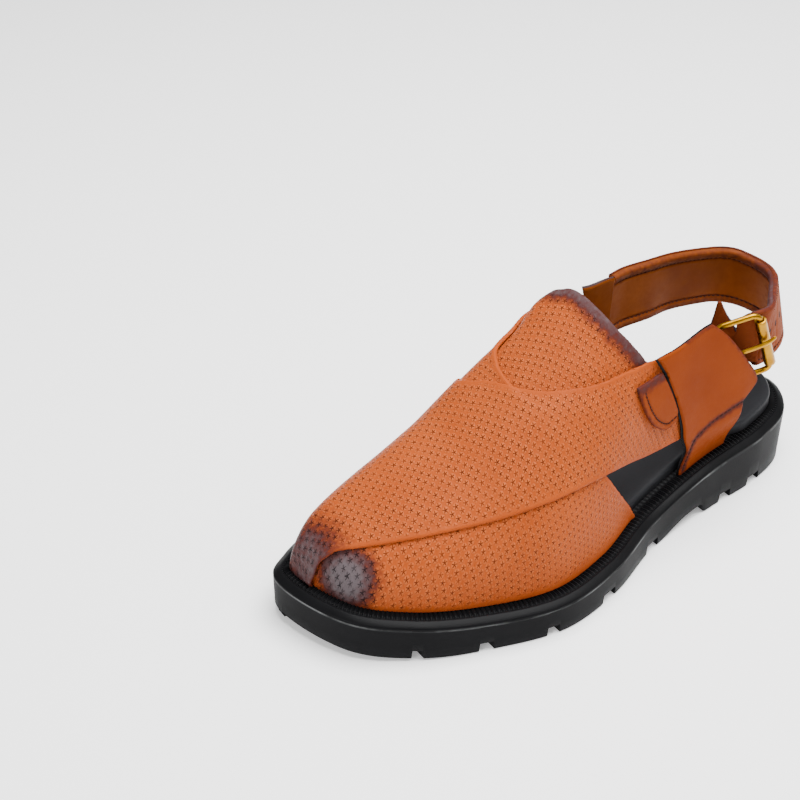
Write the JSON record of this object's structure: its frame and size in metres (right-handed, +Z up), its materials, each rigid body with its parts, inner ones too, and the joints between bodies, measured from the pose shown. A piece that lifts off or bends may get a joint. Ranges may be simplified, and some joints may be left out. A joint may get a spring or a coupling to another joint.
{
  "type": "peshawari chappal",
  "caption": "Left leather sandal with two crossed upper bands, a tongue, a buckled heel strap and a thick ribbed black rubber sole.",
  "frame": {"origin": "middle of the bounding box's bottom face, on the floor under the sole", "axes": "+X towards the toe, +Y to the wearer's left, which is the little toe's side, +Z up"},
  "size_m": [0.2964, 0.114, 0.13],
  "materials": {
    "rubber": "black moulded rubber, satin",
    "lining": "black lining leather, soft satin",
    "embossed_leather": "tan leather with small pressed marks, burnished dark at its edges",
    "plain_leather": "smooth tan leather, soft sheen, burnished edges",
    "brass": "worn polished brass"
  },
  "bodies": {
    "root": {"outsole": "rubber", "welt": "rubber", "insole": "lining", "upper": "embossed_leather", "tongue": "embossed_leather", "quarter_outer": "plain_leather", "quarter_inner": "plain_leather", "tab": "plain_leather", "heel_strap": "plain_leather", "flap": "lining", "buckle_frame": "brass", "buckle_roller": "brass", "buckle_loop": "plain_leather", "buckle_prong": "brass"}
  },
  "joints": []
}
